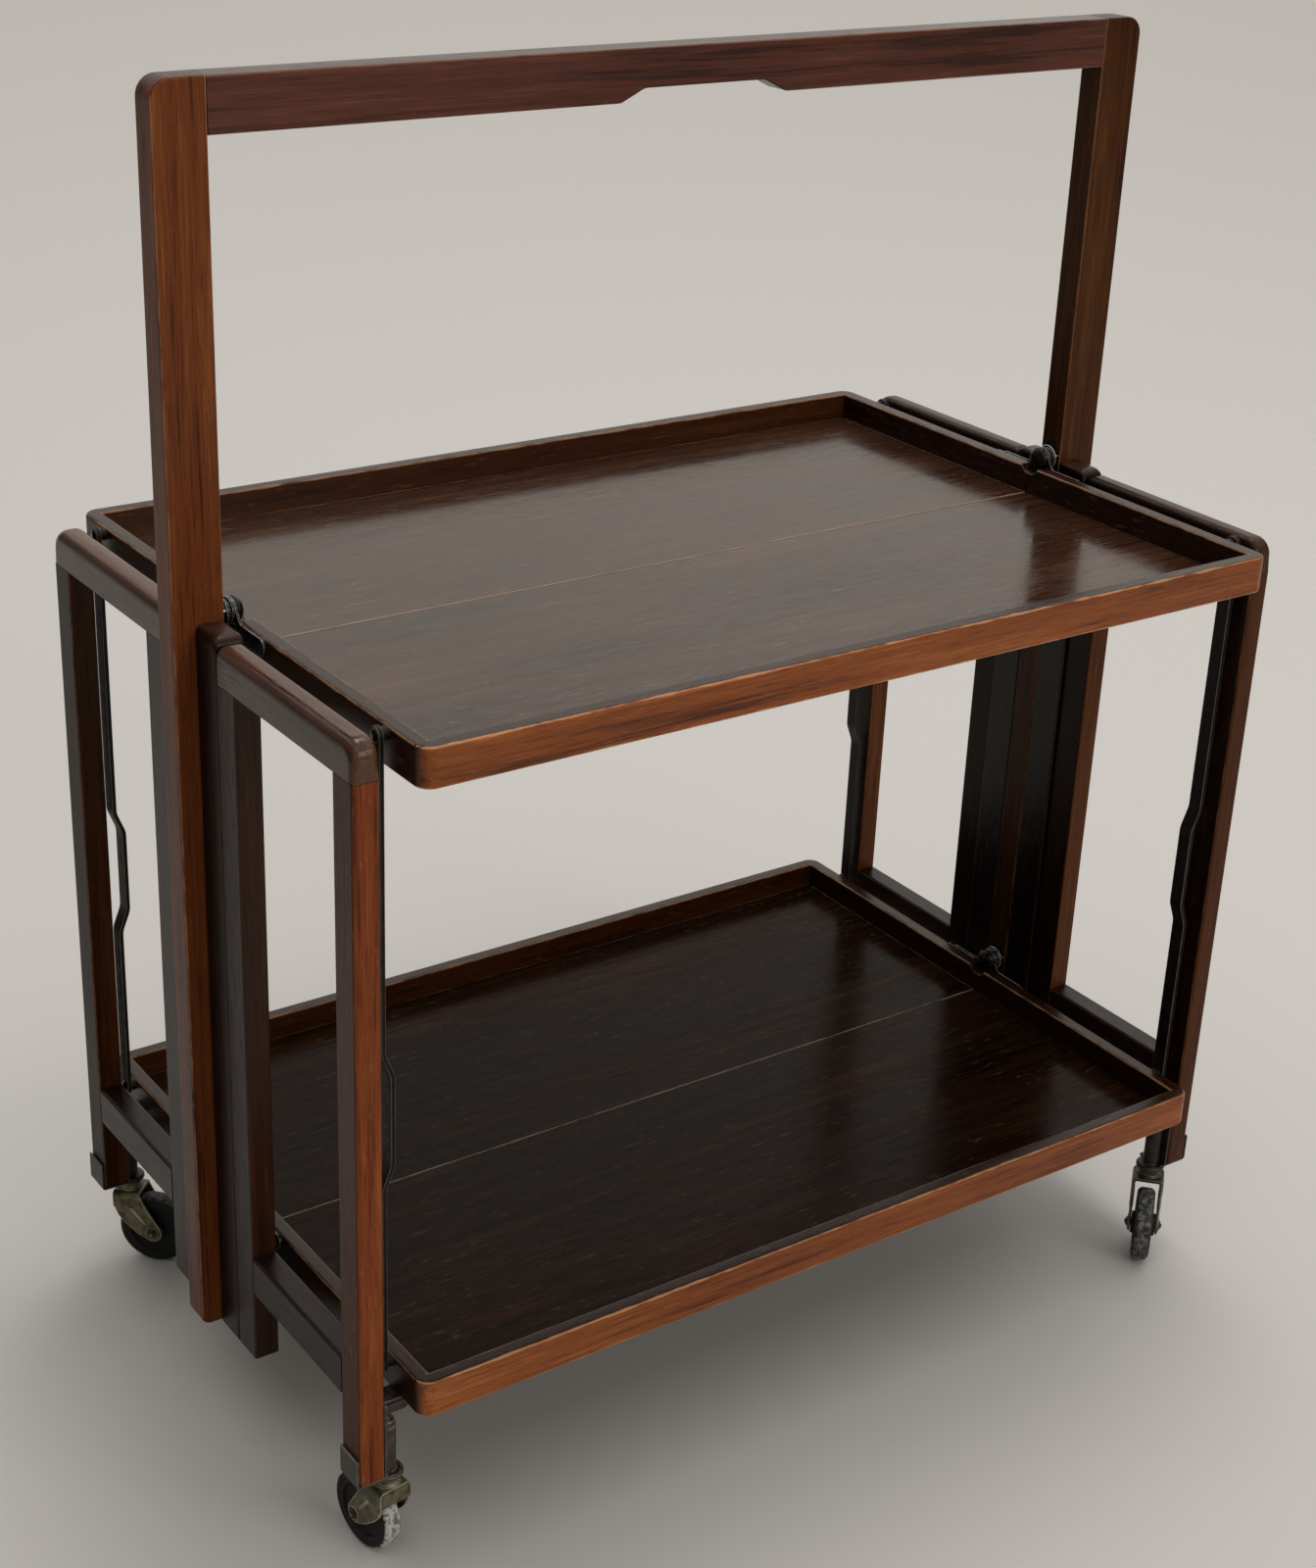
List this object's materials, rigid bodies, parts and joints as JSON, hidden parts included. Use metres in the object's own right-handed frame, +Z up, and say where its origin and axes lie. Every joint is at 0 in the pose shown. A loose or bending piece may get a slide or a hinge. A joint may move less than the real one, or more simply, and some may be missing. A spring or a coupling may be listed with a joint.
{
  "type": "folding serving trolley",
  "caption": "Folding oak serving trolley: a tall handle frame, gate legs on swivel casters and trays that fold up in halves, held level by iron link bars.",
  "frame": {"origin": "on the floor, under the middle of the trolley", "axes": "+X to the right along the trolley, -Y to its front long side, +Z up"},
  "size_m": [0.73, 0.4502, 0.878],
  "materials": {
    "frame_oak": "dark red-brown stained and varnished oak, worn paler on the edges",
    "tray_oak": "dark brown stained oak under glossy varnish",
    "iron": "blackened iron, rubbed bright on the bolt heads",
    "brass_plate": "tarnished brass plating on pressed steel",
    "rubber": "hard black rubber"
  },
  "bodies": {
    "frame": {"upright_left": "frame_oak", "upright_right": "frame_oak", "handle_rail": "frame_oak", "hinge_strip_fl": "frame_oak", "gate_fl_top_rail": "frame_oak", "gate_fl_low_rail": "frame_oak", "gate_fl_inner_stile": "frame_oak", "gate_fl_outer_stile": "frame_oak", "hinge_strip_fr": "frame_oak", "gate_fr_top_rail": "frame_oak", "gate_fr_low_rail": "frame_oak", "gate_fr_inner_stile": "frame_oak", "gate_fr_outer_stile": "frame_oak", "hinge_strip_bl": "frame_oak", "gate_bl_top_rail": "frame_oak", "gate_bl_low_rail": "frame_oak", "gate_bl_inner_stile": "frame_oak", "gate_bl_outer_stile": "frame_oak", "hinge_strip_br": "frame_oak", "gate_br_top_rail": "frame_oak", "gate_br_low_rail": "frame_oak", "gate_br_inner_stile": "frame_oak", "gate_br_outer_stile": "frame_oak", "pivot_top_left": "iron", "pivot_top_right": "iron", "pivot_low_left": "iron", "pivot_low_right": "iron", "caster_socket_fl": "iron", "caster_socket_fr": "iron", "caster_socket_bl": "iron", "caster_socket_br": "iron"},
    "top_tray_front": {"top_front_rim": "tray_oak", "top_front_panel": "tray_oak", "strap_top_front_left": "iron", "strap_top_front_right": "iron"},
    "top_tray_back": {"top_back_rim": "tray_oak", "top_back_panel": "tray_oak", "strap_top_back_left": "iron", "strap_top_back_right": "iron"},
    "low_tray_front": {"low_front_rim": "tray_oak", "low_front_panel": "tray_oak", "strap_low_front_left": "iron", "strap_low_front_right": "iron"},
    "low_tray_back": {"low_back_rim": "tray_oak", "low_back_panel": "tray_oak", "strap_low_back_left": "iron", "strap_low_back_right": "iron"},
    "link_bar_fl": {"link_bar_fl": "iron"},
    "caster_fork_fl": {"caster_fork_fl": "brass_plate"},
    "caster_wheel_fl": {"caster_wheel_fl": "rubber"},
    "link_bar_fr": {"link_bar_fr": "iron"},
    "caster_fork_fr": {"caster_fork_fr": "brass_plate"},
    "caster_wheel_fr": {"caster_wheel_fr": "rubber"},
    "link_bar_bl": {"link_bar_bl": "iron"},
    "caster_fork_bl": {"caster_fork_bl": "brass_plate"},
    "caster_wheel_bl": {"caster_wheel_bl": "rubber"},
    "link_bar_br": {"link_bar_br": "iron"},
    "caster_fork_br": {"caster_fork_br": "brass_plate"},
    "caster_wheel_br": {"caster_wheel_br": "rubber"}
  },
  "joints": [
    {"name": "top_tray_front_fold", "type": "hinge", "parent": "frame", "child": "top_tray_front", "pos_m": [0, 0, 0.5685], "axis": [-1, 0, 0], "range_deg": [0, 88]},
    {"name": "low_tray_front_fold", "type": "hinge", "parent": "frame", "child": "low_tray_front", "pos_m": [0, 0, 0.155], "axis": [-1, 0, 0], "range_deg": [0, 88]},
    {"name": "link_bar_fl_pivot", "type": "hinge", "parent": "top_tray_front", "child": "link_bar_fl", "pos_m": [-0.328, -0.186, 0.559], "axis": [-1, 0, 0], "range_deg": [-88, 0]},
    {"name": "link_bar_fr_pivot", "type": "hinge", "parent": "top_tray_front", "child": "link_bar_fr", "pos_m": [0.328, -0.186, 0.559], "axis": [-1, 0, 0], "range_deg": [-88, 0]},
    {"name": "top_tray_back_fold", "type": "hinge", "parent": "frame", "child": "top_tray_back", "pos_m": [0, 0, 0.5685], "axis": [1, 0, 0], "range_deg": [0, 88]},
    {"name": "low_tray_back_fold", "type": "hinge", "parent": "frame", "child": "low_tray_back", "pos_m": [0, 0, 0.155], "axis": [1, 0, 0], "range_deg": [0, 88]},
    {"name": "link_bar_bl_pivot", "type": "hinge", "parent": "top_tray_back", "child": "link_bar_bl", "pos_m": [-0.328, 0.186, 0.559], "axis": [1, 0, 0], "range_deg": [-88, 0]},
    {"name": "link_bar_br_pivot", "type": "hinge", "parent": "top_tray_back", "child": "link_bar_br", "pos_m": [0.328, 0.186, 0.559], "axis": [1, 0, 0], "range_deg": [-88, 0]},
    {"name": "caster_fl_swivel", "type": "hinge", "parent": "frame", "child": "caster_fork_fl", "pos_m": [-0.3278, -0.1907, 0.0645], "axis": [0, 0, 1], "continuous": true},
    {"name": "caster_fl_roll", "type": "hinge", "parent": "caster_fork_fl", "child": "caster_wheel_fl", "pos_m": [-0.33049, -0.17159, 0.027], "axis": [-0.9903, -0.1392, 0], "continuous": true},
    {"name": "caster_fr_swivel", "type": "hinge", "parent": "frame", "child": "caster_fork_fr", "pos_m": [0.3278, -0.1907, 0.0645], "axis": [0, 0, 1], "continuous": true},
    {"name": "caster_fr_roll", "type": "hinge", "parent": "caster_fork_fr", "child": "caster_wheel_fr", "pos_m": [0.31368, -0.20386, 0.027], "axis": [0.682, -0.7314, 0], "continuous": true},
    {"name": "caster_bl_swivel", "type": "hinge", "parent": "frame", "child": "caster_fork_bl", "pos_m": [-0.3278, 0.1907, 0.0645], "axis": [0, 0, 1], "continuous": true},
    {"name": "caster_bl_roll", "type": "hinge", "parent": "caster_fork_bl", "child": "caster_wheel_bl", "pos_m": [-0.31415, 0.17705, 0.027], "axis": [0.7071, 0.7071, 0], "continuous": true},
    {"name": "caster_br_swivel", "type": "hinge", "parent": "frame", "child": "caster_fork_br", "pos_m": [0.3278, 0.1907, 0.0645], "axis": [0, 0, 1], "continuous": true},
    {"name": "caster_br_roll", "type": "hinge", "parent": "caster_fork_br", "child": "caster_wheel_br", "pos_m": [0.31815, 0.17399, 0.027], "axis": [0.866, -0.5, 0], "continuous": true}
  ],
  "couplings": [
    {"joint": "low_tray_front_fold", "follows": "top_tray_front_fold", "ratio": 1},
    {"joint": "link_bar_fl_pivot", "follows": "top_tray_front_fold", "ratio": -1},
    {"joint": "link_bar_fr_pivot", "follows": "top_tray_front_fold", "ratio": -1},
    {"joint": "low_tray_back_fold", "follows": "top_tray_back_fold", "ratio": 1},
    {"joint": "link_bar_bl_pivot", "follows": "top_tray_back_fold", "ratio": -1},
    {"joint": "link_bar_br_pivot", "follows": "top_tray_back_fold", "ratio": -1}
  ]
}
